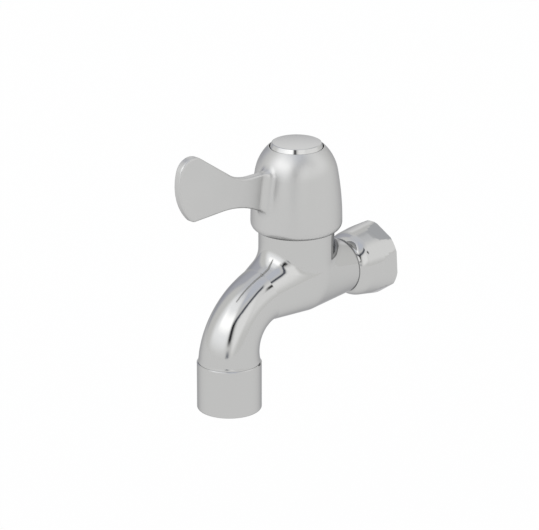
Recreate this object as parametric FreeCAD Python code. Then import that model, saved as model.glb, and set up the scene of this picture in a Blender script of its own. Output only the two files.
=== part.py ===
import FreeCAD, Part
import math
import os

# Wall-mounted single cold-water tap with a bell-shaped lever handle.
# Millimetres. The origin is the centre of the union nut's rear face, on the inlet axis.
# +Z is up, +Y points into the wall, and the spout and the closed lever point to -Y.

# Main places: reaches are from the inlet face, heights from the inlet axis
inlet_reach = 41.3
spout_reach = 76.2
lever_reach = 102.2
neck_top = 28.0
seam_height = -24.2
outlet_height = -43.4

# Body casting outside: neck, belly, arm to the nut, and spout
neck_r = 14.7
neck_blend = 9.0
belly_r = 15.5
belly_height = 3.5
arm_end_r = 10.3
run_length = 18.6
run_end_height = -1.15
run_end_r = 10.85
bend_start = 17.0
bend_steps = 16
waist_r = 10.5
waist_angle = 40.0
bend_end_r = 11.92
mouth_r = 12.05
mouth_straight = 0.5

# Waterways inside the casting
inlet_bore_r = 5.5
inlet_bore_past_tower = 5.2
seat_hole_r = 5.0
seat_height = 9.5
chamber_r = 9.4
chamber_top = 21.0
port_r = 2.9
port_height = 13.0
port_slope = 62.0
port_flare = 1.3
port_run = 3.2
port_fall = 4.7
passage_r = 6.8
passage_slope = 35.0
spout_bore_r = 8.6
spout_bore_slope = 60.0

# Tail of the casting inside the nut
tail_r = 8.2
clip_thickness = 0.8
clip_groove_depth = 0.9
clip_outer_r = 9.2
clip_mouth = 3.0
tail_past_clip = 0.8

# Union nut, G 1/2 inside
nut_length = 16.8
nut_across_flats = 26.9
nut_corner_r = 4.0
nut_turn = 4.1
nut_web = 2.8
nut_front_r = 10.1
nut_shoulder_r = 12.8
nut_shoulder_depth = 4.9
nut_rear_r = 14.5
nut_rear_edge = 0.4
thread_minor_r = 9.32
thread_length = 10.6
relief_r = 9.9
washer_r = 9.0
washer_thickness = 1.6
washer_bore_r = 6.0

# Valve cartridge, G 1/2 outside
cartridge_thread_r = 10.45
cartridge_lower_r = 9.1
cartridge_wall = 1.5
cartridge_hex = 24.0
cartridge_hex_height = 5.6
cartridge_barrel_r = 7.2
cartridge_barrel_height = 3.2
cartridge_gasket_thickness = 0.9
cartridge_gasket_r = 13.8
seal_height = 2.6
seal_foot = 0.6
seal_outer_r = 8.0
seal_bore_r = 5.4
disc_thickness = 2.6
port_angle = 80.0
port_inner_r = 1.6
port_outer_r = 5.0
window_width = 7.0
window_height = 3.4
stem_seal_r = 6.6
stem_seal_drop = 3.0
disc_room_over = 0.4
rib_angle = 36.0
rib_inner_r = 6.0

# Spindle
stem_r = 3.95
foot_thickness = 2.4
foot_neck_r = 5.2
foot_key_width = 4.0
foot_key_depth = 1.2
foot_key_length = 9.0
o_ring_wire = 1.6
o_ring_spacing = 3.6
slip_washer_thickness = 0.5
spindle_top_gap = 0.3
spline_length = 6.6
spline_teeth = 20
spline_depth = 0.45
spindle_clip_thickness = 0.6
spindle_clip_r = 5.8
handle_turn = 90.0

# Bell of the handle
bell_r = 17.72
bell_rim_height = 21.6
bell_rim_round = 3.2
bell_rim_r = 15.4
bell_side_arc = 119.0
shoulder_drop = 9.6
bell_mouth_r = 10.9
bell_mouth_height = 54.8
bell_wall = 2.5
bell_roof_corner = 1.5
web_drop = 8.8
web_thickness = 2.8
boss_r = 7.8
boss_gap = 0.8
adapter_across = 10.6

# Lever blade: distances are from the tower axis, heights above or below the blade's root top
blade_drop = 6.7
blade_thickness = 3.6
blade_edge_round = 0.9
blade_flare_r = 4.5
blade_top_bend = 25.5
blade_rise_start = 36.0
blade_rise = 3.7
blade_rise_angle = 34.0
blade_tip_arc = 20.0
blade_tip_depth = 11.35
blade_top_corner = 6.6
blade_bottom_corner = 3.0
blade_waist = 38.5
blade_waist_depth = 10.5
blade_root = 22.0
blade_root_depth = 13.8
blade_root_slope = 23.0

# Index cap, its ring and the handle screw
cap_recess_r = 10.6
cap_recess_depth = 1.8
cap_r = 10.3
cap_face_r = 9.4
cap_edge_drop = 0.2
cap_rise = 1.6
cap_crown = 0.5
cap_corner = 0.15
cap_hollow = 0.8
cap_bore_r = 8.0
cap_skirt_r = 7.2
cap_skirt_length = 3.0
cap_skirt_wall = 1.6
cap_skirt_lip = 0.6
cap_groove_depth = 0.8
cap_ring_wire = 1.55
screw_r = 2.4
screw_hole_gap = 0.3
screw_head_r = 4.0
screw_head_height = 2.4
screw_length = 10.5
screw_tip_gap = 0.5
screw_socket = 3.0
screw_socket_depth = 1.4

# Aerator
collar_r = 12.5
collar_round = 1.0
collar_lead = 0.3
collar_lip = 1.2
collar_outlet_r = 9.6
spigot_r = 10.9
spigot_length = 7.6
aerator_gasket_thickness = 2.0
aerator_gasket_bore_r = 8.4
insert_r = 10.7
insert_flange = 1.4
insert_barrel_r = 9.4
insert_bore_r = 8.4
diffuser_thickness = 1.6
diffuser_holes = 12
diffuser_hole_r = 0.8
diffuser_circle_r = 5.8
diffuser_cone_r = 3.8
diffuser_cone_height = 1.4
mesh_thickness = 0.4
mesh_spacing = 1.3
grid_bar = 0.8
grid_pitch = 2.8
grid_height = 1.6

# Clearances
thread_fit = 0.05
running_fit = 0.05
seat_gap = 0.1
film = 0.02
turning_gap = 0.35
nut_gap = 0.3
stop_gap = 1.0
overlap = 1.0

# Places worked out from the sizes above
tower_y = -inlet_reach
spout_y = -spout_reach
nut_front_y = -nut_length
web_rear_y = nut_front_y + nut_web
arm_end_y = nut_front_y - nut_gap
clip_front_y = web_rear_y + seat_gap
clip_rear_y = clip_front_y + clip_thickness
tail_end_y = clip_rear_y + tail_past_clip
shoulder_height = bell_mouth_height - shoulder_drop
web_bottom = bell_mouth_height - web_drop
cap_seat_height = bell_mouth_height - cap_recess_depth
cap_face_height = bell_mouth_height + cap_rise
blade_top = bell_mouth_height - blade_drop
spindle_top = web_bottom - spindle_top_gap
gasket_top = neck_top + cartridge_gasket_thickness
hex_top = gasket_top + cartridge_hex_height
barrel_top = hex_top + cartridge_barrel_height
fixed_disc_bottom = seat_height + seal_height
moving_disc_bottom = fixed_disc_bottom + disc_thickness + film
foot_bottom = moving_disc_bottom + disc_thickness
foot_top = foot_bottom + foot_thickness
disc_room_r = cartridge_lower_r - cartridge_wall
disc_r = disc_room_r - seat_gap
disc_room_top = chamber_top + disc_room_over
stem_seal_top = hex_top - stem_seal_drop
groove_width = o_ring_wire + seat_gap
clip_bottom = barrel_top + seat_gap
boss_bottom = clip_bottom + spindle_clip_thickness + boss_gap
web_top = web_bottom + web_thickness
skirt_bottom = cap_seat_height - cap_skirt_length
spigot_bottom = seam_height - spigot_length
gasket_bottom = spigot_bottom - aerator_gasket_thickness
lip_top = outlet_height + collar_lip
run_end_y = tower_y - run_length
bend_r = (run_end_y - spout_y) / (1 - math.sin(math.radians(bend_start)))
bend_y = spout_y + bend_r
bend_z = run_end_height - bend_r * math.cos(math.radians(bend_start))

ORIGIN = FreeCAD.Vector(0, 0, 0)
X_AXIS = FreeCAD.Vector(1, 0, 0)
Y_AXIS = FreeCAD.Vector(0, 1, 0)
Z_AXIS = FreeCAD.Vector(0, 0, 1)
TOWER = FreeCAD.Vector(0, tower_y, 0)
OUTLET = FreeCAD.Vector(0, spout_y, 0)


def point(x, y, z):
    return FreeCAD.Vector(x, y, z)


# Drawing helpers

def closed_face(steps, place):
    """Face from (a, b) steps; a step ((a, b), (a, b)) is an arc through its first point."""
    edges = []
    start = place(*steps[0])
    for step in steps[1:] + steps[:1]:
        if isinstance(step[0], tuple):
            end = place(*step[1])
            edges.append(Part.Arc(start, place(*step[0]), end).toShape())
        else:
            end = place(*step)
            edges.append(Part.LineSegment(start, end).toShape())
        start = end
    return Part.Face(Part.Wire(edges))


def turned(steps, centre, along_y=False):
    """Solid of revolution from (radius, height) steps."""
    face = closed_face(steps, lambda radius, height: point(radius, 0, height))
    solid = face.revolve(ORIGIN, Z_AXIS, 360)
    if along_y:
        solid.rotate(ORIGIN, X_AXIS, -90)
    solid.translate(centre)
    return solid


def rod(radius, bottom, top, centre):
    return Part.makeCylinder(radius, top - bottom, centre + point(0, 0, bottom))


def rod_y(radius, front, rear):
    """Round bar on the inlet axis, from y = front to y = rear."""
    return Part.makeCylinder(radius, rear - front, point(0, front, 0), Y_AXIS)


def ring(outer_r, inner_r, bottom, top, centre):
    return rod(outer_r, bottom, top, centre).cut(rod(inner_r, bottom, top, centre))


def o_ring(inner_r, wire, height, centre):
    return Part.makeTorus(inner_r + wire / 2, wire / 2, centre + point(0, 0, height))


def prism(corners, bottom, top, centre):
    points = [centre + point(x, y, bottom) for x, y in corners]
    face = Part.Face(Part.makePolygon(points + points[:1]))
    return face.extrude(point(0, 0, top - bottom))


def polygon(count, radius, turn=0.0):
    angles = [2 * math.pi * k / count + math.radians(turn) for k in range(count)]
    return [(radius * math.cos(a), radius * math.sin(a)) for a in angles]


def hexagon(across_flats):
    return polygon(6, across_flats / 2 / math.cos(math.pi / 6), 30)


def star(teeth, outer_r, depth):
    """Outline of a splined shaft with plain triangular teeth."""
    corners = []
    for k in range(2 * teeth):
        radius = outer_r - depth * (k % 2)
        angle = math.pi * k / teeth
        corners.append((radius * math.cos(angle), radius * math.sin(angle)))
    return corners


def sector(inner_r, outer_r, middle, sweep, bottom, top, centre):
    """Part of a ring round a vertical axis; middle is its bearing in degrees from +X."""
    shape = Part.makeCylinder(outer_r, top - bottom, ORIGIN, Z_AXIS, sweep)
    if inner_r > 0:
        shape = shape.cut(Part.makeCylinder(inner_r, top - bottom))
    shape.rotate(ORIGIN, Z_AXIS, middle - sweep / 2)
    shape.translate(centre + point(0, 0, bottom))
    return shape


def along(edge, count=6):
    """Points spread along an edge."""
    first = edge.FirstParameter
    span = edge.LastParameter - first
    return [edge.valueAt(first + span * k / count) for k in range(count + 1)]


def rounded(shape, radius, wanted):
    return shape.makeFillet(radius, [edge for edge in shape.Edges if wanted(along(edge))])


def from_tower(p):
    return math.hypot(p.x, p.y - tower_y)


def arc_middle(start, inward, onward, lean):
    """Middle of an arc that leaves start at this lean inward and ends (inward, onward) away.

    Places are (radius, height), and the arc runs towards lower heights.
    """
    chord = math.hypot(inward, onward)
    half_turn = math.atan2(inward, onward) - lean
    bulge = chord / 2 * math.tan(half_turn / 2)
    return (start[0] - inward / 2 + bulge * onward / chord,
            start[1] - onward / 2 - bulge * inward / chord)


# Body casting

def tangent_cone(ball, ball_r, end, end_r):
    """Cone that leaves a ball smoothly and ends in a circle of radius end_r."""
    axis = end - ball
    length = axis.Length
    axis = axis * (1 / length)
    lean = math.asin(ball_r / math.hypot(length, end_r)) - math.atan2(end_r, length)
    start = ball + axis * (ball_r * math.sin(lean))
    return Part.makeCone(ball_r * math.cos(lean), end_r, (end - start).Length, start, axis), lean


def section(centre, slope, radius):
    """Circle across the waterway; slope is the fall of the path towards -Y, in degrees."""
    wire = Part.Wire(Part.makeCircle(radius))
    wire.rotate(ORIGIN, X_AXIS, 90 + slope)
    wire.translate(centre)
    return wire


def bend_place(slope):
    """Centre of the spout's bend where the path falls at this slope."""
    turn = math.radians(slope)
    return point(0, bend_y - bend_r * math.sin(turn), bend_z + bend_r * math.cos(turn))


def spout_radius(slope):
    """The spout narrows gently to its waist and opens again towards its mouth."""
    if slope < waist_angle:
        share = (waist_angle - slope) / (waist_angle - bend_start)
        return waist_r + (run_end_r - waist_r) * share ** 3.5
    share = (slope - waist_angle) / (90 - waist_angle)
    return waist_r + (bend_end_r - waist_r) * share ** 1.7


def casting_outside():
    """Round belly with a coned arm and spout, the neck blended on, and the bent spout."""
    belly = point(0, tower_y, belly_height)
    arm_end = point(0, arm_end_y + overlap, 0)
    run_end = point(0, run_end_y, run_end_height)
    arm, lean = tangent_cone(belly, belly_r, arm_end, arm_end_r)
    run, lean = tangent_cone(belly, belly_r, run_end, run_end_r)
    body = Part.makeSphere(belly_r, belly).fuse([arm, run])
    body = body.fuse(rod(neck_r, belly_height, neck_top, TOWER)).removeSplitter()

    def neck_foot(places):
        on_neck = max(abs(from_tower(p) - neck_r) for p in places) < 0.05
        heights = [p.z for p in places]
        return on_neck and min(heights) > belly_height + overlap / 2 and max(heights) < neck_top - overlap

    body = rounded(body, neck_blend, neck_foot)
    axis = (run_end - belly) * (1 / (run_end - belly).Length)
    slope = math.degrees(math.asin(-axis.z))
    sections = [section(run_end, slope, run_end_r)]
    for k in range(1, bend_steps + 1):
        slope = bend_start + (90 - bend_start) * k / bend_steps
        sections.append(section(bend_place(slope), slope, spout_radius(slope)))
    sections.append(section(point(0, spout_y, seam_height + mouth_straight), 90, mouth_r))
    spout = Part.makeLoft(sections, True, False)
    mouth = rod(mouth_r, seam_height, seam_height + mouth_straight, OUTLET)
    size = 2 * inlet_reach
    box = Part.makeBox(size, size, size, point(-size / 2, arm_end_y, -size / 2))
    return body.fuse([spout, mouth]).cut(box)


def body_casting():
    body = casting_outside()
    spigot = rod(spigot_r, spigot_bottom, seam_height, OUTLET)
    tail = rod_y(tail_r, arm_end_y - 1, tail_end_y)
    groove = rod_y(tail_r + overlap, clip_front_y - seat_gap / 2, clip_rear_y + seat_gap / 2)
    groove = groove.cut(rod_y(tail_r - clip_groove_depth, clip_front_y - overlap, clip_rear_y + overlap))
    body = body.fuse([spigot, tail]).cut(groove)

    inlet = rod_y(inlet_bore_r, tower_y - inlet_bore_past_tower, tail_end_y + 1)
    seat = rod(seat_hole_r, 0, seat_height + 1, TOWER)
    chamber = rod(chamber_r, seat_height, chamber_top + 1, TOWER)
    thread = rod(cartridge_thread_r + thread_fit, chamber_top, neck_top + 1, TOWER)
    port_y = tower_y - chamber_r - cartridge_wall / 4
    sections = [
        section(point(0, port_y, port_height), port_slope, port_r),
        section(point(0, port_y - port_run, port_height - port_fall), port_slope, port_r + port_flare),
        section(point(0, port_y - 2 * port_run, port_height - 2 * port_fall), port_slope - 10, passage_r - port_flare),
        section(bend_place(passage_slope), passage_slope, passage_r),
        section(bend_place(spout_bore_slope), spout_bore_slope, (passage_r + spout_bore_r) / 2),
        section(bend_place(90), 90, spout_bore_r),
    ]
    passage = Part.makeLoft(sections, True, False)
    outlet = rod(spout_bore_r, spigot_bottom - 1, bend_z, OUTLET)
    return body.cut([inlet, seat, chamber, thread, passage, outlet])


# Inlet nut and what it holds

def union_nut():
    hexed = prism(hexagon(nut_across_flats), 0, nut_length, ORIGIN)
    hexed = rounded(hexed, nut_corner_r, lambda ps: abs(ps[0].z - ps[-1].z) > nut_length / 2)
    hexed.rotate(ORIGIN, X_AXIS, -90)
    hexed.translate(point(0, nut_front_y, 0))
    hexed.rotate(ORIGIN, Y_AXIS, -nut_turn)
    shoulder_y = nut_front_y + nut_shoulder_depth
    taper = math.atan2(nut_rear_r - nut_shoulder_r, -nut_rear_edge - shoulder_y)
    across = nut_shoulder_r - nut_front_r
    middle = arc_middle((nut_shoulder_r, shoulder_y), across, nut_shoulder_depth, taper)
    dome = turned([
        (0, nut_front_y),
        (nut_front_r, nut_front_y),
        (middle, (nut_shoulder_r, shoulder_y)),
        (nut_rear_r, -nut_rear_edge),
        (nut_rear_r - nut_rear_edge, 0),
        (0, 0),
    ], ORIGIN, True)
    inside = turned([
        (0, nut_front_y - 1),
        (tail_r + running_fit, nut_front_y - 1),
        (tail_r + running_fit, web_rear_y),
        (relief_r, web_rear_y),
        (relief_r, -thread_length - (relief_r - thread_minor_r)),
        (thread_minor_r, -thread_length),
        (thread_minor_r, 1),
        (0, 1),
    ], ORIGIN, True)
    return hexed.common(dome).cut(inside)


def nut_retaining_ring():
    """Open wire clip in the tail's groove, which the nut's web pulls against."""
    clip = rod_y(clip_outer_r, clip_front_y, clip_rear_y)
    clip = clip.cut(rod_y(tail_r - clip_groove_depth + running_fit, clip_front_y, clip_rear_y))
    mouth = Part.makeBox(clip_mouth, clip_thickness, clip_outer_r, point(-clip_mouth / 2, clip_front_y, 0))
    return clip.cut(mouth)


def inlet_washer():
    washer = rod_y(washer_r, tail_end_y, tail_end_y + washer_thickness)
    return washer.cut(rod_y(washer_bore_r, tail_end_y, tail_end_y + washer_thickness))


# Valve cartridge

def cartridge_body():
    """Brass body: hexagon, thread, disc room with its stop rib, and two side windows."""
    outside = turned([
        (0, fixed_disc_bottom),
        (cartridge_lower_r, fixed_disc_bottom),
        (cartridge_lower_r, chamber_top),
        (cartridge_thread_r, chamber_top + 1.4),
        (cartridge_thread_r, gasket_top),
        (0, gasket_top),
    ], TOWER)
    nut = prism(hexagon(cartridge_hex), gasket_top, hex_top, TOWER)
    corner_r = cartridge_hex / 2 / math.cos(math.pi / 6)
    chamfer = turned([
        (0, gasket_top),
        (corner_r, gasket_top),
        (corner_r, hex_top - 1.0),
        (cartridge_hex / 2, hex_top),
        (0, hex_top),
    ], TOWER)
    barrel = rod(cartridge_barrel_r, hex_top - 1, barrel_top, TOWER)
    body = outside.fuse([nut.common(chamfer), barrel])
    disc_room = rod(disc_room_r, fixed_disc_bottom - 1, disc_room_top, TOWER)
    rib = sector(rib_inner_r, disc_room_r + 0.5, 90, rib_angle, foot_bottom + seat_gap, disc_room_top + 1, TOWER)
    stem_room = rod(stem_seal_r, disc_room_top - 1, stem_seal_top, TOWER)
    stem_hole = rod(stem_r + running_fit, stem_seal_top - 1, barrel_top + 1, TOWER)
    window = Part.makeBox(4 * cartridge_lower_r, window_width, window_height,
                          TOWER + point(-2 * cartridge_lower_r, -window_width / 2, foot_bottom))
    return body.cut([disc_room.cut(rib), stem_room, stem_hole, window])


def cartridge_gasket():
    return ring(cartridge_gasket_r, cartridge_thread_r + running_fit, neck_top, gasket_top, TOWER)


def seat_seal():
    """Rubber ring between the fixed disc and the casting's seat, with a rounded foot."""
    middle = (seal_outer_r + seal_bore_r) / 2
    return turned([
        (seal_bore_r, seat_height + seal_foot),
        ((middle, seat_height), (seal_outer_r, seat_height + seal_foot)),
        (seal_outer_r, fixed_disc_bottom),
        (seal_bore_r, fixed_disc_bottom),
    ], TOWER)


def ports(bearings, bottom, top):
    return [sector(port_inner_r, port_outer_r, bearing, port_angle, bottom, top, TOWER) for bearing in bearings]


def fixed_disc():
    """Ceramic disc with two port openings, on the left and the right."""
    disc = rod(disc_r, fixed_disc_bottom, fixed_disc_bottom + disc_thickness, TOWER)
    return disc.cut(ports((0, 180), fixed_disc_bottom - 1, moving_disc_bottom + 1))


def foot_key():
    """Bar under the spindle's foot that drives the moving disc."""
    corner = TOWER + point(-foot_key_length / 2, -foot_key_width / 2, foot_bottom - foot_key_depth)
    return Part.makeBox(foot_key_length, foot_key_width, foot_key_depth, corner)


def moving_disc():
    """Ceramic disc whose two ports stand across the fixed ones while the tap is closed."""
    disc = rod(disc_r, moving_disc_bottom, foot_bottom, TOWER)
    disc = disc.cut(ports((90, 270), moving_disc_bottom - 1, foot_bottom + 1))
    corner = TOWER + point(-foot_key_length / 2 - running_fit, -foot_key_width / 2 - running_fit,
                           foot_bottom - foot_key_depth - running_fit)
    slot = Part.makeBox(foot_key_length + 2 * running_fit, foot_key_width + 2 * running_fit, foot_key_depth + 1, corner)
    return disc.cut(slot)


def stop_cut():
    """Room round the foot's edge for the cartridge's rib, over the handle's whole turn."""
    sweep = rib_angle + handle_turn + 2 * stop_gap
    middle = 90 - handle_turn / 2
    return sector(rib_inner_r - turning_gap, disc_room_r + 1, middle, sweep, foot_bottom - 1, disc_room_top, TOWER)


def o_ring_heights():
    first = stem_seal_top - 2.6 - o_ring_spacing
    return [first, first + o_ring_spacing]


def spindle():
    foot = rod(disc_r, foot_bottom, foot_top, TOWER).cut(stop_cut())
    foot = foot.cut(ports((90, 270), foot_bottom - 1, foot_top + 1))
    neck = rod(foot_neck_r, foot_bottom + 0.6, disc_room_top + 1, TOWER)
    sealed = rod(stem_seal_r - running_fit, disc_room_top + 0.4, stem_seal_top - slip_washer_thickness, TOWER)
    for height in o_ring_heights():
        bottom = height - groove_width / 2
        root_r = stem_seal_r - o_ring_wire
        sealed = sealed.cut(ring(stem_seal_r + 1, root_r, bottom, bottom + groove_width, TOWER))
    stem = rod(stem_r, stem_seal_top - slip_washer_thickness - 1, spindle_top - spline_length, TOWER)
    spline = prism(star(spline_teeth, stem_r, spline_depth), spindle_top - spline_length, spindle_top, TOWER)
    clip_groove = ring(stem_r + 1, stem_r - 0.6, clip_bottom - seat_gap / 2,
                       clip_bottom + spindle_clip_thickness + seat_gap / 2, TOWER)
    screw_hole = rod(screw_r + running_fit, spindle_top - screw_length, spindle_top + 1, TOWER)
    return foot.fuse([foot_key(), neck, sealed, stem, spline]).cut([clip_groove, screw_hole])


def spindle_o_rings():
    inner_r = stem_seal_r - o_ring_wire
    rings = [o_ring(inner_r + film, o_ring_wire - 3 * film, height, TOWER) for height in o_ring_heights()]
    return Part.makeCompound(rings)


def slip_washer():
    """Low-friction washer between the spindle's shoulder and the cartridge."""
    return ring(stem_seal_r - seat_gap, stem_r + running_fit, stem_seal_top - slip_washer_thickness,
                stem_seal_top - film, TOWER)


def spindle_clip():
    clip = ring(spindle_clip_r, stem_r - 0.6 + running_fit, clip_bottom, clip_bottom + spindle_clip_thickness, TOWER)
    gap = Part.makeBox(3, spindle_clip_r, 2, TOWER + point(-1.5, 0, clip_bottom - 0.5))
    return clip.cut(gap)


# Handle

def bell_side(height):
    """Outside radius of the bell's long lower arc at this height."""
    start = bell_rim_height + bell_rim_round
    return bell_r - bell_side_arc + math.sqrt(bell_side_arc ** 2 - (height - start) ** 2)


def bell_arc_middle():
    """Point half-way round the shoulder arc, which leaves the side arc without a kink."""
    start = bell_rim_height + bell_rim_round
    lean = math.asin((shoulder_height - start) / bell_side_arc)
    side_r = bell_side(shoulder_height)
    flipped = arc_middle((side_r, -shoulder_height), side_r - bell_mouth_r, shoulder_drop, lean)
    return flipped[0], -flipped[1]


def bell_outside():
    start = bell_rim_height + bell_rim_round
    middle = (start + shoulder_height) / 2
    corner = arc_middle((bell_r, start), bell_r - bell_rim_r, bell_rim_round, 0)
    return turned([
        (0, bell_rim_height),
        (bell_rim_r, bell_rim_height),
        (corner, (bell_r, start)),
        ((bell_side(middle), middle), (bell_side(shoulder_height), shoulder_height)),
        (bell_arc_middle(), (bell_mouth_r, bell_mouth_height)),
        (0, bell_mouth_height),
    ], TOWER)


def bell_inside():
    """Hollow of the bell round the neck and the cartridge, with the boss left standing."""
    rim_inner_r = neck_r + turning_gap
    hex_level = gasket_top + cartridge_hex_height
    roof_r = bell_side(web_bottom) - 1.5 * bell_wall
    hollow = turned([
        (boss_r, bell_rim_height - overlap),
        (rim_inner_r, bell_rim_height - overlap),
        (rim_inner_r, neck_top + 2 * overlap),
        (bell_side(hex_level) - bell_wall, hex_level),
        (roof_r, web_bottom - bell_roof_corner),
        (roof_r - bell_roof_corner, web_bottom),
        (boss_r, web_bottom),
    ], TOWER)
    under_boss = rod(boss_r + 1, bell_rim_height - 1, boss_bottom, TOWER)
    return hollow.fuse(under_boss)


def blade_tip():
    """Where the rising top edge and the level bottom edge meet the tip's arc."""
    arc_reach = lever_reach - inlet_reach - blade_tip_arc
    lean = math.radians(blade_rise_angle)
    across = blade_rise_start - arc_reach
    half = across * math.cos(lean)
    run = -half + math.sqrt(half * half - across ** 2 + blade_tip_arc ** 2)
    top = (blade_rise_start + run * math.cos(lean), blade_top + blade_rise + run * math.sin(lean))
    drop = blade_rise + blade_tip_depth
    return top, (arc_reach + math.sqrt(blade_tip_arc ** 2 - drop ** 2), blade_top - blade_tip_depth)


def blade():
    """Upright fan-shaped blade; it starts inside the bell's wall."""
    top_corner, bottom_corner = blade_tip()
    inner = (boss_r + bell_r - bell_wall) / 2
    fall = (blade_root - inner) * math.tan(math.radians(blade_root_slope))
    waist_bottom = blade_top - blade_waist_depth
    root_bottom = blade_top - blade_root_depth
    steps = [
        (inner, blade_top),
        (blade_top_bend, blade_top),
        ((0.48 * blade_top_bend + 0.52 * blade_rise_start, blade_top + 0.28 * blade_rise),
         (blade_rise_start, blade_top + blade_rise)),
        top_corner,
        ((lever_reach - inlet_reach, blade_top + blade_rise), bottom_corner),
        (blade_waist, waist_bottom),
        (((blade_waist + blade_root) / 2, waist_bottom - 0.2 * (waist_bottom - root_bottom)),
         (blade_root, root_bottom)),
        (inner, root_bottom - fall),
    ]
    half = blade_thickness / 2
    face = closed_face(steps, lambda reach, height: point(-half, tower_y - reach, height))
    solid = face.extrude(point(blade_thickness, 0, 0))

    def at_corner(corner):
        spot = point(0, tower_y - corner[0], corner[1])
        return lambda ps: (ps[3] - spot).Length < 0.1

    solid = rounded(solid, blade_top_corner, at_corner(top_corner))
    solid = rounded(solid, blade_bottom_corner, at_corner(bottom_corner))

    def outline(places):
        flat = max(abs(abs(p.x) - half) for p in places) < 0.001
        return flat and min(p.y for p in places) < tower_y - inner - 0.01

    return rounded(solid, blade_edge_round, outline)


def handle():
    """Hollow bell and lever in one casting, with flared webs where the blade leaves the bell."""
    bell = bell_outside()
    half = blade_thickness / 2
    front = tower_y - bell_r - 0.5

    def root_loop(places):
        close = max(from_tower(p) for p in places) < bell_r + 0.03
        inside = min(p.y for p in places) > front and max(p.y for p in places) < tower_y - 12
        return close and inside and max(abs(p.x) for p in places) < half + 0.01

    body = rounded(bell.fuse(blade()), blade_flare_r, root_loop)
    recess = rod(cap_recess_r, cap_seat_height, bell_mouth_height + 5, TOWER)
    screw_room = rod(cap_bore_r, web_top, cap_seat_height + 1, TOWER)
    screw_hole = rod(screw_r + screw_hole_gap, web_bottom - 1, web_top + 1, TOWER)
    adapter_room = prism(hexagon(adapter_across + 2 * running_fit), boss_bottom - 1, web_bottom, TOWER)
    return body.cut([bell_inside(), recess, screw_room, screw_hole, adapter_room])


def spline_adapter():
    outside = prism(hexagon(adapter_across), boss_bottom, web_bottom - seat_gap, TOWER)
    bore = prism(star(spline_teeth, stem_r + running_fit, spline_depth), boss_bottom - 1, web_bottom + 1, TOWER)
    return outside.cut(bore)


def handle_screw():
    head_top = web_top + screw_head_height
    head = turned([
        (0, web_top),
        (screw_head_r, web_top),
        (screw_head_r, web_top + screw_head_height * 0.5),
        ((screw_head_r - 0.5, head_top - 0.35), (screw_head_r - 1.6, head_top)),
        (0, head_top),
    ], TOWER)
    shank = rod(screw_r, spindle_top - screw_length + screw_tip_gap, web_top + screw_tip_gap, TOWER)
    socket = prism(hexagon(screw_socket), head_top - screw_socket_depth, head_top + 1, TOWER)
    return head.fuse(shank).cut(socket)


def index_cap():
    """Coin-like cap over the screw, with a sloped edge, a slight crown and a gripping skirt."""
    edge_r = cap_face_r - cap_corner
    ball = (edge_r ** 2 + cap_crown ** 2) / 2 / cap_crown
    half_way = cap_face_height + cap_crown - ball + math.sqrt(ball ** 2 - (edge_r / 2) ** 2)
    groove_bottom = skirt_bottom + cap_skirt_lip
    groove_top = groove_bottom + cap_ring_wire + seat_gap
    return turned([
        (0, cap_seat_height + cap_hollow),
        (cap_skirt_r - cap_skirt_wall, cap_seat_height + cap_hollow),
        (cap_skirt_r - cap_skirt_wall, skirt_bottom),
        (cap_skirt_r, skirt_bottom),
        (cap_skirt_r, groove_bottom),
        (cap_skirt_r - cap_groove_depth, groove_bottom),
        (cap_skirt_r - cap_groove_depth, groove_top),
        (cap_skirt_r, groove_top),
        (cap_skirt_r, cap_seat_height),
        (cap_r, cap_seat_height),
        (cap_r, bell_mouth_height - cap_edge_drop),
        (cap_face_r + cap_corner, cap_face_height - cap_corner),
        (edge_r, cap_face_height),
        ((edge_r / 2, half_way), (0, cap_face_height + cap_crown)),
    ], TOWER)


def cap_ring():
    height = skirt_bottom + cap_skirt_lip + (cap_ring_wire + seat_gap) / 2
    return o_ring(cap_skirt_r - cap_groove_depth, cap_ring_wire, height, TOWER)


# Aerator

def aerator_housing():
    """Plain collar screwed over the spout's spigot, with a lip that holds the insert."""
    bore_r = spigot_r + thread_fit
    diagonal = collar_round * (1 - math.sqrt(0.5))
    return turned([
        (bore_r, seam_height),
        (collar_r - collar_lead, seam_height),
        (collar_r, seam_height - collar_lead),
        (collar_r, outlet_height + collar_round),
        ((collar_r - diagonal, outlet_height + diagonal), (collar_r - collar_round, outlet_height)),
        (collar_outlet_r + 0.3, outlet_height),
        (collar_outlet_r, outlet_height + 0.3),
        (collar_outlet_r, lip_top),
        (bore_r, lip_top),
    ], OUTLET)


def aerator_gasket():
    return ring(insert_r, aerator_gasket_bore_r, gasket_bottom, spigot_bottom, OUTLET)


def aerator_insert():
    """Plastic body on the collar's lip: flange, barrel and the grid that straightens the stream."""
    shell = turned([
        (insert_bore_r, lip_top),
        (insert_r, lip_top),
        (insert_r, lip_top + insert_flange),
        (insert_barrel_r, lip_top + insert_flange),
        (insert_barrel_r, gasket_bottom - insert_flange),
        (insert_r, gasket_bottom - insert_flange),
        (insert_r, gasket_bottom),
        (insert_bore_r, gasket_bottom),
    ], OUTLET)
    count = int(insert_bore_r / grid_pitch)
    bars = []
    for k in range(-count, count + 1):
        offset = k * grid_pitch
        half = math.sqrt((insert_bore_r + 0.3) ** 2 - offset ** 2)
        corner = OUTLET + point(-half, offset - grid_bar / 2, lip_top)
        bars.append(Part.makeBox(2 * half, grid_bar, grid_height, corner))
        corner = OUTLET + point(offset - grid_bar / 2, -half, lip_top)
        bars.append(Part.makeBox(grid_bar, 2 * half, grid_height, corner))
    return shell.fuse(bars).removeSplitter()


def aerator_screens():
    """Two wire screens above the grid, each as a plain thin disc."""
    screens = []
    for k in range(2):
        bottom = lip_top + grid_height + 0.3 + k * mesh_spacing
        screens.append(rod(insert_bore_r - running_fit, bottom, bottom + mesh_thickness, OUTLET))
    return Part.makeCompound(screens)


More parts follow.
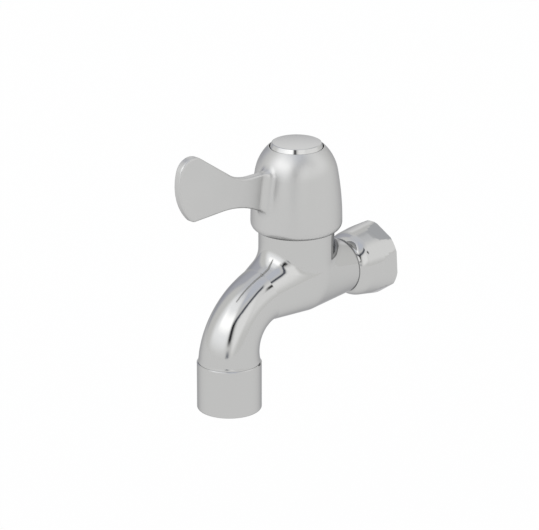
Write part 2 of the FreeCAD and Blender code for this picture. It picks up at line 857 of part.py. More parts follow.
def aerator_diffuser():
    """Perforated plate at the top of the insert, with a low cone that spreads the water."""
    bottom = gasket_bottom - diffuser_thickness
    plate = turned([
        (0, bottom),
        (insert_bore_r - running_fit, bottom),
        (insert_bore_r - running_fit, gasket_bottom),
        (diffuser_cone_r, gasket_bottom),
        (0, gasket_bottom + diffuser_cone_height),
    ], OUTLET)
    holes = []
    for x, y in polygon(diffuser_holes, diffuser_circle_r):
        holes.append(rod(diffuser_hole_r, bottom - 1, gasket_bottom + 1, OUTLET + point(x, y, 0)))
    return plate.cut(holes)


PIECES = {
    "body_casting": body_casting,
    "union_nut": union_nut,
    "nut_retaining_ring": nut_retaining_ring,
    "inlet_washer": inlet_washer,
    "cartridge_body": cartridge_body,
    "cartridge_gasket": cartridge_gasket,
    "seat_seal": seat_seal,
    "fixed_disc": fixed_disc,
    "moving_disc": moving_disc,
    "spindle": spindle,
    "spindle_o_rings": spindle_o_rings,
    "slip_washer": slip_washer,
    "spindle_clip": spindle_clip,
    "handle": handle,
    "spline_adapter": spline_adapter,
    "handle_screw": handle_screw,
    "index_cap": index_cap,
    "cap_ring": cap_ring,
    "aerator_housing": aerator_housing,
    "aerator_gasket": aerator_gasket,
    "aerator_insert": aerator_insert,
    "aerator_screens": aerator_screens,
    "aerator_diffuser": aerator_diffuser,
}


def main():
    os.makedirs("parts", exist_ok=True)
    for name, make in PIECES.items():
        shape = make()
        print(name, "solids", len(shape.Solids), "volume", round(shape.Volume, 1), "valid", shape.isValid())
        shape.exportStep("parts/" + name + ".step")


main()
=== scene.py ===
import math

import bpy
from bpy.props import FloatProperty, FloatVectorProperty, PointerProperty
from mathutils import Matrix, Vector


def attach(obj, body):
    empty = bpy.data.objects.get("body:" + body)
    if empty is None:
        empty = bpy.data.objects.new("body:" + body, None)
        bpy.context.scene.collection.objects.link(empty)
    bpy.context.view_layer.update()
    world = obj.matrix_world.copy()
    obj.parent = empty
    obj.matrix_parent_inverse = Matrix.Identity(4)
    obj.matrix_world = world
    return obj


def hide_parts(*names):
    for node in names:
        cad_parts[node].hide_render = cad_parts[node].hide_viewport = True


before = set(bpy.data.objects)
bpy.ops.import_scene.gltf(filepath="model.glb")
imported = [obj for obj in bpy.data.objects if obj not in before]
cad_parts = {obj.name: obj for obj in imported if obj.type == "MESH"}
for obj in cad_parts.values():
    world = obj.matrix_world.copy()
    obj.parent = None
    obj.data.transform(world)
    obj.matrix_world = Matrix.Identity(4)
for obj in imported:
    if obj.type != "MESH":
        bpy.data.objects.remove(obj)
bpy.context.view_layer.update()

bl_info = {
    "name": "Wall Tap Dresser",
    "version": (1, 0, 0),
    "blender": (4, 5, 0),
    "location": "View3D > Sidebar > Wall Tap",
    "description": "Finishes and studio for a wall-mounted tap with a lever handle",
    "category": "Object",
}

MM = 0.001

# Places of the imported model, in millimetres
SPOUT_Y = -76.2
SCREEN_R = 8.35
SCREEN_HEIGHTS = (-40.1, -38.8)
NUT_FRONT_Y = -16.8
ARM_END_R = 10.28
THREAD_CORE_R = 9.32
THREAD_END_Y = -10.2

# Nut, in millimetres: what counts as its front face, and how far that is drawn towards the arm
NUT_FRONT_REACH = 0.05
NUT_FRONT_DRAW = 0.25

# Pipe thread: turns of the cutter, its steps in a turn, how far in millimetres its foot lies inside
# the bore, half of its blunt tip as a share of the pitch, and half of the vee's angle
THREAD_TURNS = 7
THREAD_STEPS = 72
CUTTER_INSET = 0.2
CUTTER_TIP = 0.08
VEE_HALF_ANGLE = math.radians(27.5)

# Screens, in millimetres: room between the wires' ends and the rim
SCREEN_ROOM = 0.05

# Distances in millimetres under which vertices of a mesh are one
NUT_WELD = 0.001
WIRE_WELD = 0.002

# Edges sharper than this are drawn sharp
NUT_SHARP_ANGLE = math.radians(28)
WIRE_SHARP_ANGLE = math.radians(60)

# Distance between the bands of a Wave Texture whose scale is 1
WAVE_PERIOD = 0.314

# What the plate turns a reflection to where it is seen almost along the surface
EDGE_TINT = "#BEBEC0"

# Point in millimetres that the camera looks at, and its clipping distances in metres
CAMERA_TARGET = (-15.31, -41.3, 2.22)
CAMERA_CLIP = (0.05, 30.0)

# Floor: its size in metres, its reflectance, and how much of what is seen of it is plain white
FLOOR_SIZE = 12.0
FLOOR_WHITE = 0.9
FLOOR_GLOW_SHARE = 0.95

# Tent: colours of its wall and roof, the elevation and soft edge in degrees where they meet, and an
# elevation past the top, so that the roof has no end
TENT_WALL = "#F8F8F7"
TENT_ROOF = "#F0F2F8"
ROOF_START = 62
ROOF_SOFT = 14
ROOF_END = 200

# Patches of the tent: azimuths from +X towards +Y and elevations in degrees, rise per degree of
# azimuth, soft edge in degrees, strength and tint
ROOM_PATCHES = (
    (-195, -174, -15, 60, 0.0, 9, 0.82, "#E8EAF4"),
    (157, 190, -15, 60, 0.0, 5, 0.84, "#E8EAF4"),
    (112, 148, 6, 34, 0.0, 6, 1.30, "#FFFFFF"),
    (-134, -58, 8, 67, 0.0, 14, 1.45, "#FCFDFF"),
    (-117, -58, 27, 46, 0.0, 7, 1.95, "#FFFFFF"),
    (-50, 22, 60, 100, 0.3, 7, 1.02, "#E8ECF7"),
    (-2, 66, 10, 58, 0.0, 9, 1.16, "#FFFFFF"),
    (-37, -2, 8, 41, 0.45, 7, 1.28, "#FFFFFF"),
    (-50, 5, 42, 50, 0.45, 3, 0.32, "#8890A8"),
    (9, 19, 37, 46, 0.0, 3, 0.03, "#303640"),
    (80, 128, 38, 60, 0.0, 8, 0.80, "#ECEEF2"),
    (-56, -44, 12, 36, 0.0, 5, 0.05, "#505C78"),
    (-56, -46, -12, 4, 0.0, 5, 0.60, "#A0A6B4"),
)


def linear(colour):
    """An sRGB hex colour as linear red, green and blue."""
    values = [int(colour[k:k + 2], 16) / 255 for k in (1, 3, 5)]
    return tuple(v / 12.92 if v <= 0.04045 else ((v + 0.055) / 1.055) ** 2.4 for v in values)


class WT_PG_finishes(bpy.types.PropertyGroup):
    """Colours and polish of the tap's materials"""

    body_plate: FloatVectorProperty(
        name="Body Plate", description="Colour of the chrome plate on the brass pieces",
        subtype="COLOR", size=3, min=0.0, max=1.0, default=linear("#C0C0BF"))
    body_roughness: FloatProperty(
        name="Body Roughness", description="How far the body's plate blurs what it mirrors",
        subtype="FACTOR", min=0.0, max=1.0, default=0.08)
    handle_plate: FloatVectorProperty(
        name="Handle Plate", description="Colour of the chrome plate on the zinc handle and cap",
        subtype="COLOR", size=3, min=0.0, max=1.0, default=linear("#C7C7C6"))
    handle_roughness: FloatProperty(
        name="Handle Roughness", description="How far the handle's plate blurs what it mirrors",
        subtype="FACTOR", min=0.0, max=1.0, default=0.35)
    cap_roughness: FloatProperty(
        name="Cap Roughness", description="How far the cap's plate blurs what it mirrors",
        subtype="FACTOR", min=0.0, max=1.0, default=0.12)
    brass: FloatVectorProperty(
        name="Brass", description="Colour of the turned brass in the valve",
        subtype="COLOR", size=3, min=0.0, max=1.0, default=linear("#D0AE66"))
    steel: FloatVectorProperty(
        name="Steel", description="Colour of the spring clips",
        subtype="COLOR", size=3, min=0.0, max=1.0, default=linear("#9A9C9F"))
    stainless: FloatVectorProperty(
        name="Stainless Steel", description="Colour of the handle screw and the wire screens",
        subtype="COLOR", size=3, min=0.0, max=1.0, default=linear("#B9BABB"))
    rubber: FloatVectorProperty(
        name="Rubber", description="Colour of the washers and sealing rings",
        subtype="COLOR", size=3, min=0.0, max=1.0, default=linear("#1D1E1F"))
    ceramic: FloatVectorProperty(
        name="Ceramic", description="Colour of the two valve discs",
        subtype="COLOR", size=3, min=0.0, max=1.0, default=linear("#F1EEE6"))
    white_plastic: FloatVectorProperty(
        name="White Plastic", description="Colour of the spline adapter and slip washer",
        subtype="COLOR", size=3, min=0.0, max=1.0, default=linear("#E9E8E3"))
    grey_plastic: FloatVectorProperty(
        name="Grey Plastic", description="Colour of the aerator's insert and diffuser",
        subtype="COLOR", size=3, min=0.0, max=1.0, default=linear("#8B8E92"))


class WT_PG_sizes(bpy.types.PropertyGroup):
    """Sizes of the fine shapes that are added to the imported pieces"""

    thread_pitch: FloatProperty(
        name="Thread Pitch", description="Pitch of the nut's pipe thread, 14 turns to the inch",
        unit="LENGTH", min=0.0005, default=1.814 * MM, precision=4)
    thread_r: FloatProperty(
        name="Thread Radius", description="Radius at the bottom of the nut's thread grooves",
        unit="LENGTH", min=0.0095, default=10.48 * MM, precision=4)
    wire: FloatProperty(
        name="Screen Wire", description="Diameter of the wire of the aerator's screens",
        unit="LENGTH", min=0.00005, default=0.2 * MM, precision=4)
    wire_spacing: FloatProperty(
        name="Screen Spacing", description="Distance between neighbouring wires of a screen",
        unit="LENGTH", min=0.0004, default=0.7 * MM, precision=4)


class WT_PG_stage(bpy.types.PropertyGroup):
    """Floor, light and camera"""

    floor_drop: FloatProperty(
        name="Floor Drop", description="Distance from the inlet axis down to the floor",
        unit="LENGTH", min=0.05, default=0.10)
    tent_level: FloatProperty(
        name="Tent Level", description="Brightness of the white tent, where 1 is white",
        min=0.0, max=2.0, default=1.0)
    camera_azimuth: FloatProperty(
        name="Camera Azimuth", description="How far the camera stands round from the tap's front",
        subtype="ANGLE", default=math.radians(47.56))
    camera_rise: FloatProperty(
        name="Camera Rise", description="How far the camera looks down",
        subtype="ANGLE", default=math.radians(19.99))
    camera_distance: FloatProperty(
        name="Camera Distance", description="Distance from the camera to the tap",
        unit="LENGTH", min=0.2, default=1.6)
    lens: FloatProperty(
        name="Lens", description="Focal length of the camera",
        unit="CAMERA", min=20.0, default=274.5)


def add_node(tree, kind, settings=None, links=None):
    """Adds a node: settings are properties or inputs, links are inputs fed by other nodes."""
    node = tree.nodes.new(kind)
    for name, value in (settings or {}).items():
        if isinstance(name, str) and hasattr(node, name):
            setattr(node, name, value)
        else:
            node.inputs[name].default_value = value
    for name, output in (links or {}).items():
        tree.links.new(output, node.inputs[name])
    return node


def new_material(name):
    """A material with an empty node tree, and that tree."""
    material = bpy.data.materials.new(name)
    material.use_nodes = True
    material.node_tree.nodes.clear()
    return material, material.node_tree


def finish_material(tree, shader):
    """Leads a shader to the material's output."""
    add_node(tree, "ShaderNodeOutputMaterial", links={"Surface": shader.outputs[0]})


def chrome_plate(name, colour, roughness):
    """Chrome plate over buffed metal: a mirror, a little darker than silver."""
    material, tree = new_material(name)
    place = add_node(tree, "ShaderNodeTexCoord")
    # Buffing leaves slow waves about 6 mm long, far too low to feel
    waves = add_node(tree, "ShaderNodeTexNoise", {"Scale": 1 / (6 * MM), "Detail": 1.0},
                     {"Vector": place.outputs["Object"]})
    bump = add_node(tree, "ShaderNodeBump", {"Strength": 0.02, "Distance": 0.02 * MM},
                    {"Height": waves.outputs["Fac"]})
    # Hands leave thin patches of film, about 15 mm across, that dull the mirror a little
    film = add_node(tree, "ShaderNodeTexNoise", {"Scale": 1 / (15 * MM), "Detail": 3.0},
                    {"Vector": place.outputs["Object"]})
    rough = add_node(tree, "ShaderNodeMapRange", {"To Min": roughness * 0.8, "To Max": roughness * 1.2},
                     {"Value": film.outputs["Fac"]})
    shader = add_node(tree, "ShaderNodeBsdfPrincipled",
                      {"Base Color": (*colour, 1.0), "Metallic": 1.0,
                       "Specular Tint": (*linear(EDGE_TINT), 1.0)},
                      {"Roughness": rough.outputs["Result"], "Normal": bump.outputs["Normal"]})
    finish_material(tree, shader)
    return material


def turned_brass(colour):
    """Free-cutting brass off the lathe: warm metal with fine level tool lines and a trace of tarnish."""
    material, tree = new_material("Turned Brass")
    place = add_node(tree, "ShaderNodeTexCoord")
    # Tool lines are 0.15 mm apart on the real piece and drawn 0.4 mm apart so that they show
    lines = add_node(tree, "ShaderNodeTexWave",
                     {"wave_type": "BANDS", "bands_direction": "Z", "Scale": WAVE_PERIOD / (0.4 * MM),
                      "Distortion": 0.6, "Detail": 2.0},
                     {"Vector": place.outputs["Object"]})
    bump = add_node(tree, "ShaderNodeBump", {"Strength": 0.25, "Distance": 0.02 * MM},
                    {"Height": lines.outputs["Fac"]})
    # Tarnish lies in clouds about 5 mm across
    tarnish = add_node(tree, "ShaderNodeTexNoise", {"Scale": 1 / (5 * MM), "Detail": 4.0},
                       {"Vector": place.outputs["Object"]})
    tone = add_node(tree, "ShaderNodeValToRGB", links={"Fac": tarnish.outputs["Fac"]})
    tone.color_ramp.elements[0].position = 0.35
    tone.color_ramp.elements[0].color = (*[v * 0.72 for v in colour], 1.0)
    tone.color_ramp.elements[1].position = 0.6
    tone.color_ramp.elements[1].color = (*colour, 1.0)
    shader = add_node(tree, "ShaderNodeBsdfPrincipled", {"Metallic": 1.0, "Roughness": 0.26},
                      {"Base Color": tone.outputs["Color"], "Normal": bump.outputs["Normal"]})
    finish_material(tree, shader)
    return material


def steel_metal(name, colour, roughness, grain, across):
    """Drawn or turned steel: grey metal with a fine grain that is longer one way than the other."""
    material, tree = new_material(name)
    place = add_node(tree, "ShaderNodeTexCoord")
    stretch = add_node(tree, "ShaderNodeMapping", {"Scale": across}, {"Vector": place.outputs["Object"]})
    streaks = add_node(tree, "ShaderNodeTexNoise", {"Scale": 1 / grain, "Detail": 3.0},
                       {"Vector": stretch.outputs["Vector"]})
    bump = add_node(tree, "ShaderNodeBump", {"Strength": 0.3, "Distance": 0.01 * MM},
                    {"Height": streaks.outputs["Fac"]})
    rough = add_node(tree, "ShaderNodeMapRange", {"To Min": roughness * 0.7, "To Max": roughness * 1.3},
                     {"Value": streaks.outputs["Fac"]})
    shader = add_node(tree, "ShaderNodeBsdfPrincipled", {"Base Color": (*colour, 1.0), "Metallic": 1.0},
                      {"Roughness": rough.outputs["Result"], "Normal": bump.outputs["Normal"]})
    finish_material(tree, shader)
    return material


def moulded(name, colour, roughness, ior, grain, depth, mottle):
    """Moulded or pressed piece: one colour, slightly mottled, with the mould's fine skin as bump."""
    material, tree = new_material(name)
    place = add_node(tree, "ShaderNodeTexCoord")
    skin = add_node(tree, "ShaderNodeTexNoise", {"Scale": 1 / grain, "Detail": 4.0, "Roughness": 0.6},
                    {"Vector": place.outputs["Object"]})
    bump = add_node(tree, "ShaderNodeBump", {"Strength": 0.4, "Distance": depth},
                    {"Height": skin.outputs["Fac"]})
    # The mottle's clouds are about 4 mm across
    cloud = add_node(tree, "ShaderNodeTexNoise", {"Scale": 1 / (4 * MM), "Detail": 2.0},
                     {"Vector": place.outputs["Object"]})
    tone = add_node(tree, "ShaderNodeValToRGB", links={"Fac": cloud.outputs["Fac"]})
    tone.color_ramp.elements[0].position = 0.3
    tone.color_ramp.elements[0].color = (*[v * (1 - mottle) for v in colour], 1.0)
    tone.color_ramp.elements[1].position = 0.7
    tone.color_ramp.elements[1].color = (*colour, 1.0)
    shader = add_node(tree, "ShaderNodeBsdfPrincipled", {"Roughness": roughness, "IOR": ior},
                      {"Base Color": tone.outputs["Color"], "Normal": bump.outputs["Normal"]})
    finish_material(tree, shader)
    return material


def dress(material, *pieces):
    """Gives CAD nodes, by name, and new pieces one material in all their slots."""
    for piece in pieces:
        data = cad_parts[piece].data if isinstance(piece, str) else piece.data
        data.materials.clear()
        data.materials.append(material)


def select_only(*objects):
    """Selects these objects alone and makes the first one active."""
    bpy.ops.object.select_all(action="DESELECT")
    for obj in objects:
        obj.select_set(True)
    bpy.context.view_layer.objects.active = objects[0]


def apply_modifier(obj, name, kind, **settings):
    """Adds a modifier with its settings and applies it at once."""
    modifier = obj.modifiers.new(name, kind)
    for key, value in settings.items():
        setattr(modifier, key, value)
    select_only(obj)
    bpy.ops.object.modifier_apply(modifier=name)


class WT_OT_body_plate(bpy.types.Operator):
    """Plates the body casting and the collar at its outlet"""

    bl_idname = "wall_tap.body_plate"
    bl_label = "Body and Collar"

    def execute(self, context):
        finishes = context.scene.wall_tap_finishes
        plate = chrome_plate("Chrome Plate on Brass", finishes.body_plate, finishes.body_roughness)
        dress(plate, "body_casting", "aerator_housing")
        return {"FINISHED"}


class WT_OT_handle_plate(bpy.types.Operator):
    """Plates the handle and its cap"""

    bl_idname = "wall_tap.handle_plate"
    bl_label = "Handle and Cap"

    def execute(self, context):
        finishes = context.scene.wall_tap_finishes
        satin = chrome_plate("Satin Chrome on Zinc Alloy", finishes.handle_plate, finishes.handle_roughness)
        dress(satin, "handle")
        bright = chrome_plate("Bright Chrome on Zinc Cap", finishes.handle_plate, finishes.cap_roughness)
        dress(bright, "index_cap")
        return {"FINISHED"}


class WT_OT_union_nut(bpy.types.Operator):
    """Cuts the pipe thread into a copy of the union nut, which then stands for it"""

    bl_idname = "wall_tap.union_nut"
    bl_label = "Threaded Union Nut"

    def execute(self, context):
        sizes = context.scene.wall_tap_sizes
        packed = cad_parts["union_nut"]
        nut = bpy.data.objects.new("threaded_union_nut", packed.data.copy())
        context.scene.collection.objects.link(nut)
        select_only(nut)
        bpy.ops.mesh.customdata_custom_splitnormals_clear()
        bpy.ops.object.mode_set(mode="EDIT")
        bpy.ops.mesh.select_all(action="SELECT")
        bpy.ops.mesh.remove_doubles(threshold=NUT_WELD * MM)
        bpy.ops.object.mode_set(mode="OBJECT")

        # The nut's front is drawn up to the arm, so that the two all but touch
        for vertex in nut.data.vertices:
            if vertex.co.y < NUT_FRONT_Y * MM + NUT_FRONT_REACH * MM:
                radius = math.hypot(vertex.co.x, vertex.co.z)
                grow = ARM_END_R * MM / radius if radius > THREAD_CORE_R * MM else 1.0
                vertex.co = (vertex.co.x * grow, (NUT_FRONT_Y - NUT_FRONT_DRAW) * MM, vertex.co.z * grow)

        # Cutter: a 55 degree vee with a blunt tip, carried along the right-hand helix and closed by a
        # face at each end
        bpy.ops.object.select_all(action="DESELECT")
        bpy.ops.mesh.primitive_circle_add(vertices=4, radius=MM)
        cutter = context.active_object
        inner_r = (THREAD_CORE_R - CUTTER_INSET) * MM
        tip = sizes.thread_pitch * CUTTER_TIP
        foot = tip + (sizes.thread_r - inner_r) * math.tan(VEE_HALF_ANGLE)
        start = THREAD_END_Y * MM
        corners = ((inner_r, -foot), (sizes.thread_r, -tip), (sizes.thread_r, tip), (inner_r, foot))
        for vertex, (radius, along) in zip(cutter.data.vertices, corners):
            vertex.co = (radius, start + along, 0)
        apply_modifier(cutter, "helix", "SCREW", axis="Y", screw_offset=sizes.thread_pitch,
                       iterations=THREAD_TURNS, steps=THREAD_STEPS, render_steps=THREAD_STEPS)
        bpy.ops.object.mode_set(mode="EDIT")
        bpy.ops.mesh.select_all(action="SELECT")
        bpy.ops.mesh.fill_holes(sides=4)
        bpy.ops.mesh.normals_make_consistent(inside=False)
        bpy.ops.object.mode_set(mode="OBJECT")
        apply_modifier(nut, "thread", "BOOLEAN", operation="DIFFERENCE", solver="EXACT", object=cutter)
        bpy.data.objects.remove(cutter)
        if len(nut.data.polygons) <= len(packed.data.polygons):
            raise RuntimeError("the thread was not cut into the nut")
        select_only(nut)
        bpy.ops.object.shade_smooth_by_angle(angle=NUT_SHARP_ANGLE)
        apply_modifier(nut, "flat_faces_stay_flat", "WEIGHTED_NORMAL", keep_sharp=True, weight=100)

        finishes = context.scene.wall_tap_finishes
        plate = chrome_plate("Chrome Plate on Brass Nut", finishes.body_plate, finishes.body_roughness)
        dress(plate, nut, "union_nut")
        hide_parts("union_nut")
        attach(nut, "union_nut")
        return {"FINISHED"}


class WT_OT_wire_screens(bpy.types.Operator):
    """Weaves the aerator's two wire screens"""

    bl_idname = "wall_tap.wire_screens"
    bl_label = "Aerator Screens"

    def execute(self, context):
        sizes = context.scene.wall_tap_sizes
        gap = sizes.wire_spacing
        radius = (SCREEN_R - SCREEN_ROOM) * MM
        weave = bpy.data.curves.new("wire_screens", "CURVE")
        weave.dimensions = "3D"
        weave.bevel_depth = sizes.wire / 2
        weave.bevel_resolution = 1
        weave.use_fill_caps = True
        count = int(radius / gap)
        for wire in range(-count, count + 1):
            aside = wire * gap
            half = math.sqrt(radius ** 2 - aside ** 2)
            # Points at each crossing and halfway between, as far as the wire reaches
            points = [k * gap / 2 for k in range(-2 * count, 2 * count + 1)]
            stops = [along for along in points if abs(along) < half - gap / 4]
            # One wire each way, which passes over where the other one passes under
            for over in (1, -1):
                line = weave.splines.new("POLY")
                line.points.add(len(stops) + 1)
                for dot, along in zip(line.points, [-half] + stops + [half]):
                    lift = over * sizes.wire / 2 * math.cos(math.pi * (along / gap + wire))
                    x, y = (along, aside) if over == 1 else (aside, along)
                    dot.co = (x, y + SPOUT_Y * MM, lift + SCREEN_HEIGHTS[0] * MM, 1.0)
        lower = bpy.data.objects.new("wire_screens", weave)
        context.scene.collection.objects.link(lower)
        select_only(lower)
        bpy.ops.object.convert(target="MESH")
        screens = context.active_object
        bpy.ops.object.mode_set(mode="EDIT")
        bpy.ops.mesh.select_all(action="SELECT")
        bpy.ops.mesh.remove_doubles(threshold=WIRE_WELD * MM)
        # A wire's end that came open is a ring of a few edges
        bpy.ops.mesh.fill_holes(sides=12)
        bpy.ops.mesh.normals_make_consistent(inside=False)
        bpy.ops.object.mode_set(mode="OBJECT")
        upper = bpy.data.objects.new("upper_screen", screens.data.copy())
        upper.data.transform(Matrix.Translation((0, 0, (SCREEN_HEIGHTS[1] - SCREEN_HEIGHTS[0]) * MM)))
        context.scene.collection.objects.link(upper)
        select_only(screens, upper)
        bpy.ops.object.join()
        select_only(screens)
        bpy.ops.object.shade_smooth_by_angle(angle=WIRE_SHARP_ANGLE)
        # Drawn wire, bright between the crossings
        wire = steel_metal("Woven Stainless Wire", context.scene.wall_tap_finishes.stainless,
                           roughness=0.25, grain=0.3 * MM, across=(1.0, 1.0, 1.0))
        dress(wire, screens, "aerator_screens")
        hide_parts("aerator_screens")
        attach(screens, "body")
        return {"FINISHED"}


class WT_OT_valve_brass(bpy.types.Operator):
    """Finishes the cartridge body and the spindle"""

    bl_idname = "wall_tap.valve_brass"
    bl_label = "Cartridge and Spindle"

    def execute(self, context):
        dress(turned_brass(context.scene.wall_tap_finishes.brass), "cartridge_body", "spindle")
        return {"FINISHED"}


class WT_OT_steel(bpy.types.Operator):
    """Finishes the two spring clips and the handle screw"""

    bl_idname = "wall_tap.steel"
    bl_label = "Clips and Screw"

    def execute(self, context):
        finishes = context.scene.wall_tap_finishes
        # Punched from oiled strip: dull grey, with rolling grain along the strip
        spring = steel_metal("Spring Steel Strip", finishes.steel,
                             roughness=0.35, grain=0.5 * MM, across=(1.0, 0.2, 1.0))
        dress(spring, "nut_retaining_ring", "spindle_clip")
        # Cold-headed screw: bright, with drawing lines along its axis
        bright = steel_metal("Stainless Steel Screw", finishes.stainless,
                             roughness=0.28, grain=0.4 * MM, across=(1.0, 1.0, 0.15))
        dress(bright, "handle_screw")
        return {"FINISHED"}


class WT_OT_seals(bpy.types.Operator):
    """Finishes the washers, gaskets and sealing rings"""

    bl_idname = "wall_tap.seals"
    bl_label = "Rubber Seals"

    def execute(self, context):
        # Nitrile rubber from a fine mould: near black, with a soft low sheen
        rubber = moulded("Moulded Nitrile Rubber", context.scene.wall_tap_finishes.rubber,
                         roughness=0.62, ior=1.52, grain=0.25 * MM, depth=0.02 * MM, mottle=0.25)
        dress(rubber, "inlet_washer", "cartridge_gasket", "seat_seal", "spindle_o_rings", "cap_ring",
              "aerator_gasket")
        return {"FINISHED"}


class WT_OT_discs(bpy.types.Operator):
    """Finishes the two ceramic valve discs"""

    bl_idname = "wall_tap.discs"
    bl_label = "Ceramic Discs"

    def execute(self, context):
        # Sintered alumina, lapped flat: warm white and glossy, with hardly any grain
        ceramic = moulded("Lapped Alumina Ceramic", context.scene.wall_tap_finishes.ceramic,
                          roughness=0.14, ior=1.76, grain=0.3 * MM, depth=0.002 * MM, mottle=0.05)
        dress(ceramic, "fixed_disc", "moving_disc")
        return {"FINISHED"}


class WT_OT_plastics(bpy.types.Operator):
    """Finishes the spline adapter, the slip washer and the aerator's plastic pieces"""

    bl_idname = "wall_tap.plastics"
    bl_label = "Plastic Pieces"

    def execute(self, context):
        finishes = context.scene.wall_tap_finishes
        # Acetal: waxy white with a soft gloss
        white = moulded("Moulded White Acetal", finishes.white_plastic,
                        roughness=0.38, ior=1.48, grain=0.4 * MM, depth=0.008 * MM, mottle=0.06)
        dress(white, "spline_adapter", "slip_washer")
        # The aerator's acetal is pigmented grey, and its mould was spark eroded to a dull skin
        grey = moulded("Moulded Grey Acetal", finishes.grey_plastic,
                       roughness=0.48, ior=1.48, grain=0.2 * MM, depth=0.015 * MM, mottle=0.10)
        dress(grey, "aerator_insert", "aerator_diffuser")
        return {"FINISHED"}


def window(tree, value, low, high, soft):
    """One between low and high, falling smoothly to nought over the soft edges."""
    rise = add_node(tree, "ShaderNodeMapRange",
                    {"interpolation_type": "SMOOTHSTEP", "From Min": low - soft, "From Max": low + soft},
                    {"Value": value})
    fall = add_node(tree, "ShaderNodeMapRange",
                    {"interpolation_type": "SMOOTHSTEP", "From Min": high + soft, "From Max": high - soft},
                    {"Value": value})
    both = add_node(tree, "ShaderNodeMath", {"operation": "MULTIPLY"},
                    {0: rise.outputs["Result"], 1: fall.outputs["Result"]})
    return both.outputs[0]


def studio_room(world, level):
    """White tent round the tap, with the soft boxes, gaps and openings that the chrome mirrors."""
    tree = world.node_tree
    tree.nodes.clear()
    place = add_node(tree, "ShaderNodeTexCoord")
    ray = add_node(tree, "ShaderNodeVectorMath", {"operation": "NORMALIZE"},
                   {0: place.outputs["Generated"]})
    part = add_node(tree, "ShaderNodeSeparateXYZ", links={0: ray.outputs[0]})
    turn = add_node(tree, "ShaderNodeMath", {"operation": "ARCTAN2"},
                    {0: part.outputs["Y"], 1: part.outputs["X"]})
    turn = add_node(tree, "ShaderNodeMath", {"operation": "DEGREES"}, {0: turn.outputs[0]})
    rise = add_node(tree, "ShaderNodeMath", {"operation": "ARCSINE"}, {0: part.outputs["Z"]})
    rise = add_node(tree, "ShaderNodeMath", {"operation": "DEGREES"}, {0: rise.outputs[0]})
    roof = window(tree, rise.outputs[0], ROOF_START, ROOF_END, ROOF_SOFT)
    base = add_node(tree, "ShaderNodeValToRGB", links={"Fac": roof})
    base.color_ramp.elements[0].color = (*linear(TENT_WALL), 1.0)
    base.color_ramp.elements[1].color = (*linear(TENT_ROOF), 1.0)
    colour = base.outputs["Color"]
    for low, high, bottom, top, tilt, soft, strength, tint in ROOM_PATCHES:
        along = add_node(tree, "ShaderNodeMath",
                         {"operation": "MULTIPLY_ADD", 1: -tilt, 2: tilt * (low + high) / 2},
                         {0: turn.outputs[0]})
        height = add_node(tree, "ShaderNodeMath", {"operation": "ADD"},
                          {0: rise.outputs[0], 1: along.outputs[0]})
        share = add_node(tree, "ShaderNodeMath", {"operation": "MULTIPLY"},
                         {0: window(tree, turn.outputs[0], low, high, soft),
                          1: window(tree, height.outputs[0], bottom, top, soft)})
        mix = add_node(tree, "ShaderNodeMixRGB", {"Color2": (*[v * strength for v in linear(tint)], 1.0)},
                       {"Fac": share.outputs[0], "Color1": colour})
        colour = mix.outputs["Color"]
    back = add_node(tree, "ShaderNodeBackground", {"Strength": level}, {"Color": colour})
    add_node(tree, "ShaderNodeOutputWorld", links={"Surface": back.outputs[0]})


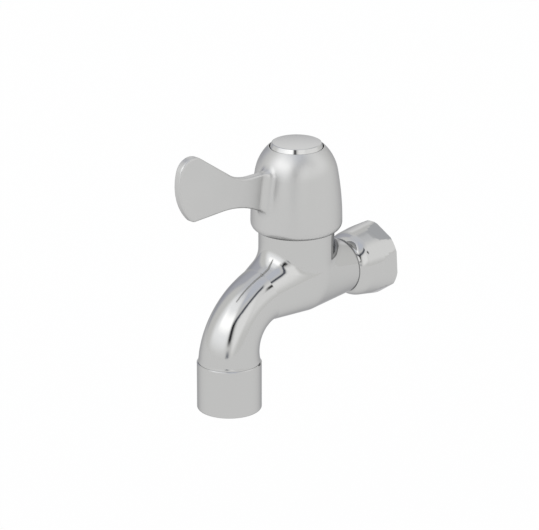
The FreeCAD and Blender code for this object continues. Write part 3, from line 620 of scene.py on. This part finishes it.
class WT_OT_stage(bpy.types.Operator):
    """Sets up the floor, the soft light and the camera"""

    bl_idname = "wall_tap.stage"
    bl_label = "Set Up the Stage"

    def execute(self, context):
        scene = context.scene
        stage = scene.wall_tap_stage
        scene.view_settings.view_transform = "Standard"

        bpy.ops.object.select_all(action="DESELECT")
        bpy.ops.mesh.primitive_plane_add(size=FLOOR_SIZE, location=(0, 0, 0))
        floor = context.active_object
        floor.name = "floor"
        floor.data.transform(Matrix.Translation((0, 0, -stage.floor_drop)))
        # Painted white board: seen as plain white with a trace of the tap's shadow, and matt to the light
        material, tree = new_material("White Painted Board")
        path = add_node(tree, "ShaderNodeLightPath")
        seen = add_node(tree, "ShaderNodeMath", {"operation": "MAXIMUM"},
                        {0: path.outputs["Is Camera Ray"], 1: path.outputs["Is Glossy Ray"]})
        seen = add_node(tree, "ShaderNodeMath", {"operation": "MAXIMUM"},
                        {0: seen.outputs[0], 1: path.outputs["Is Transmission Ray"]})
        share = add_node(tree, "ShaderNodeMath", {"operation": "MULTIPLY", 1: FLOOR_GLOW_SHARE},
                         {0: seen.outputs[0]})
        matt = add_node(tree, "ShaderNodeBsdfDiffuse",
                        {"Color": (FLOOR_WHITE, FLOOR_WHITE, FLOOR_WHITE, 1.0)})
        glow = add_node(tree, "ShaderNodeEmission", {"Color": (1.0, 1.0, 1.0, 1.0), "Strength": 1.0})
        mix = add_node(tree, "ShaderNodeMixShader",
                       links={0: share.outputs[0], 1: matt.outputs[0], 2: glow.outputs[0]})
        finish_material(tree, mix)
        floor.data.materials.append(material)

        world = bpy.data.worlds.new("White Tent")
        scene.world = world
        world.use_nodes = True
        studio_room(world, stage.tent_level)

        azimuth, elevation = stage.camera_azimuth, stage.camera_rise
        back = Vector((math.sin(azimuth) * math.cos(elevation), -math.cos(azimuth) * math.cos(elevation),
                       math.sin(elevation)))
        right = Vector((math.cos(azimuth), math.sin(azimuth), 0.0))
        up = back.cross(right)
        camera = bpy.data.objects.new("photo_camera", bpy.data.cameras.new("photo_camera"))
        scene.collection.objects.link(camera)
        target = Vector(CAMERA_TARGET) * MM
        camera.matrix_world = Matrix.Translation(target + back * stage.camera_distance) @ Matrix(
            (right, up, back)).transposed().to_4x4()
        camera.data.lens = stage.lens
        camera.data.clip_start, camera.data.clip_end = CAMERA_CLIP
        scene.camera = camera
        return {"FINISHED"}


class WT_PT_panel(bpy.types.Panel):
    """Buttons for each piece or group and for the stage, with all settings below them"""

    bl_label = "Wall Tap"
    bl_idname = "WT_PT_panel"
    bl_space_type = "VIEW_3D"
    bl_region_type = "UI"
    bl_category = "Wall Tap"

    def draw(self, context):
        for operator in OPERATORS:
            self.layout.operator(operator.bl_idname)
        for name in SETTINGS:
            group = getattr(context.scene, name)
            for key in group.__annotations__:
                self.layout.prop(group, key)


SETTINGS = {
    "wall_tap_finishes": WT_PG_finishes,
    "wall_tap_sizes": WT_PG_sizes,
    "wall_tap_stage": WT_PG_stage,
}
OPERATORS = (WT_OT_body_plate, WT_OT_handle_plate, WT_OT_union_nut, WT_OT_wire_screens, WT_OT_valve_brass,
             WT_OT_steel, WT_OT_seals, WT_OT_discs, WT_OT_plastics, WT_OT_stage)
CLASSES = (*SETTINGS.values(), *OPERATORS, WT_PT_panel)


def register():
    """Registers the classes and hangs the settings on the scene."""
    for item in CLASSES:
        bpy.utils.register_class(item)
    for name, group in SETTINGS.items():
        setattr(bpy.types.Scene, name, PointerProperty(type=group))


def unregister():
    """Takes the settings and the classes out again."""
    for name in SETTINGS:
        delattr(bpy.types.Scene, name)
    for item in reversed(CLASSES):
        bpy.utils.unregister_class(item)


def main():
    """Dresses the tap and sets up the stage."""
    register()
    for operator in OPERATORS:
        group, name = operator.bl_idname.split(".")
        getattr(getattr(bpy.ops, group), name)()


if __name__ == "__main__":
    main()
